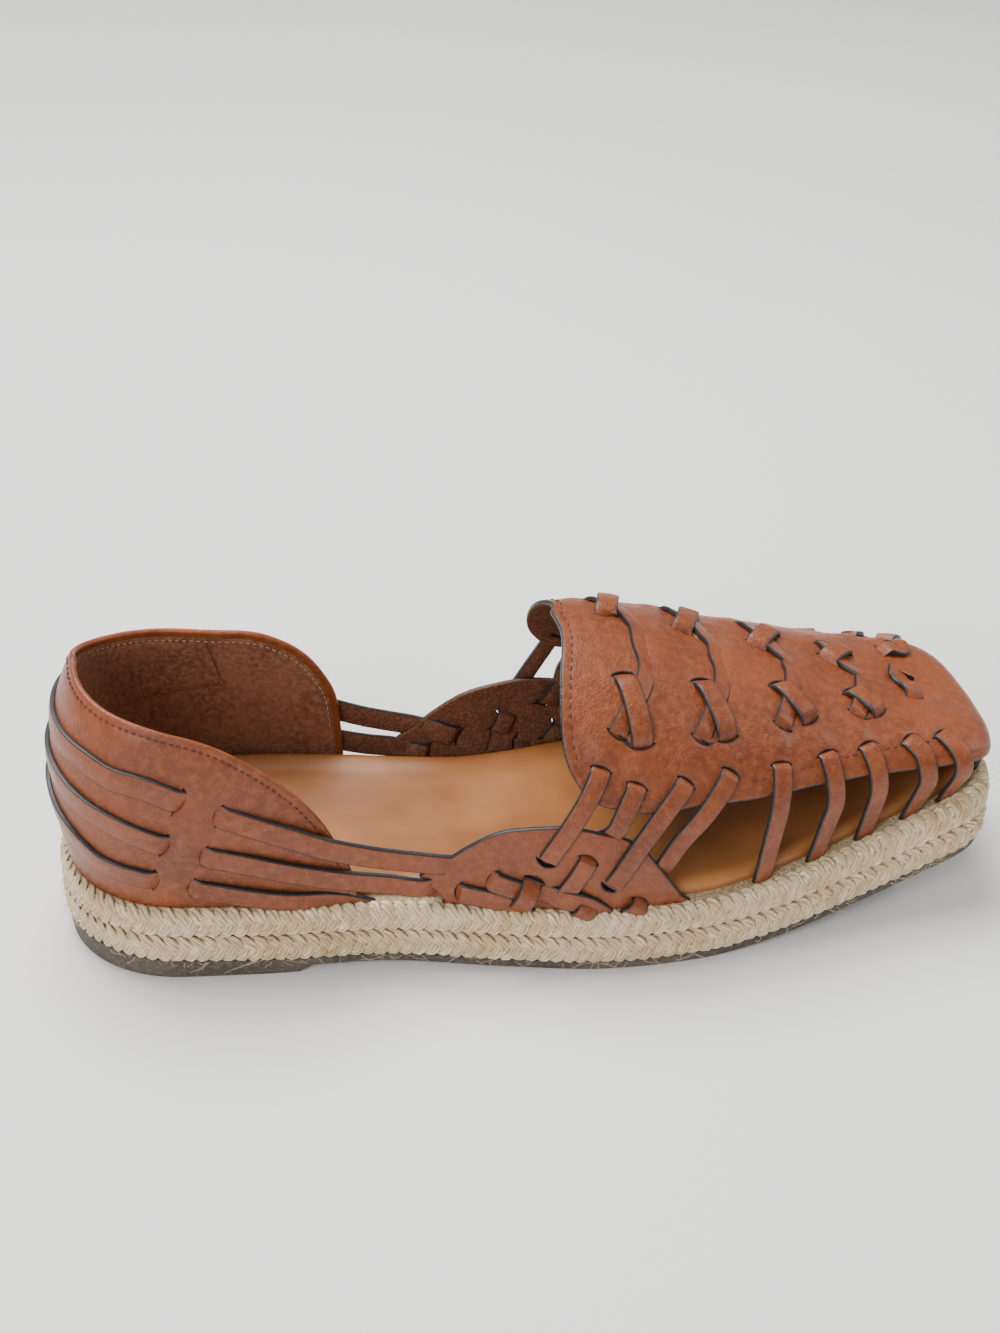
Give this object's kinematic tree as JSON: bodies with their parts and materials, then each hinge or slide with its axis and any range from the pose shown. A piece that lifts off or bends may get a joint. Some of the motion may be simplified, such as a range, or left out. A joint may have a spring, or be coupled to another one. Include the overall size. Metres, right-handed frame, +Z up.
{
  "type": "woven leather espadrille flat",
  "caption": "Flat slip-on shoe: woven leather strap upper with a laced vamp, closed heel, leather insole and two layers of braided jute on a thin rubber outsole. Right foot.",
  "frame": {"origin": "middle of the shoe's footprint (its overall box), on the floor the sole rests on", "axes": "+X from heel to toe, +Z up, +Y to the inner side of the foot (the outer side is at -Y)"},
  "size_m": [0.2658, 0.0904, 0.0868],
  "materials": {
    "outsole": "matte taupe",
    "lower_braid": "natural jute braid",
    "upper_braid": "natural jute braid",
    "insole": "smooth satin tan",
    "upper": "semi-gloss grained brown"
  },
  "bodies": {
    "root": {"outsole": "outsole", "lower_braid": "lower_braid", "upper_braid": "upper_braid", "insole": "insole", "upper": "upper"}
  },
  "joints": []
}
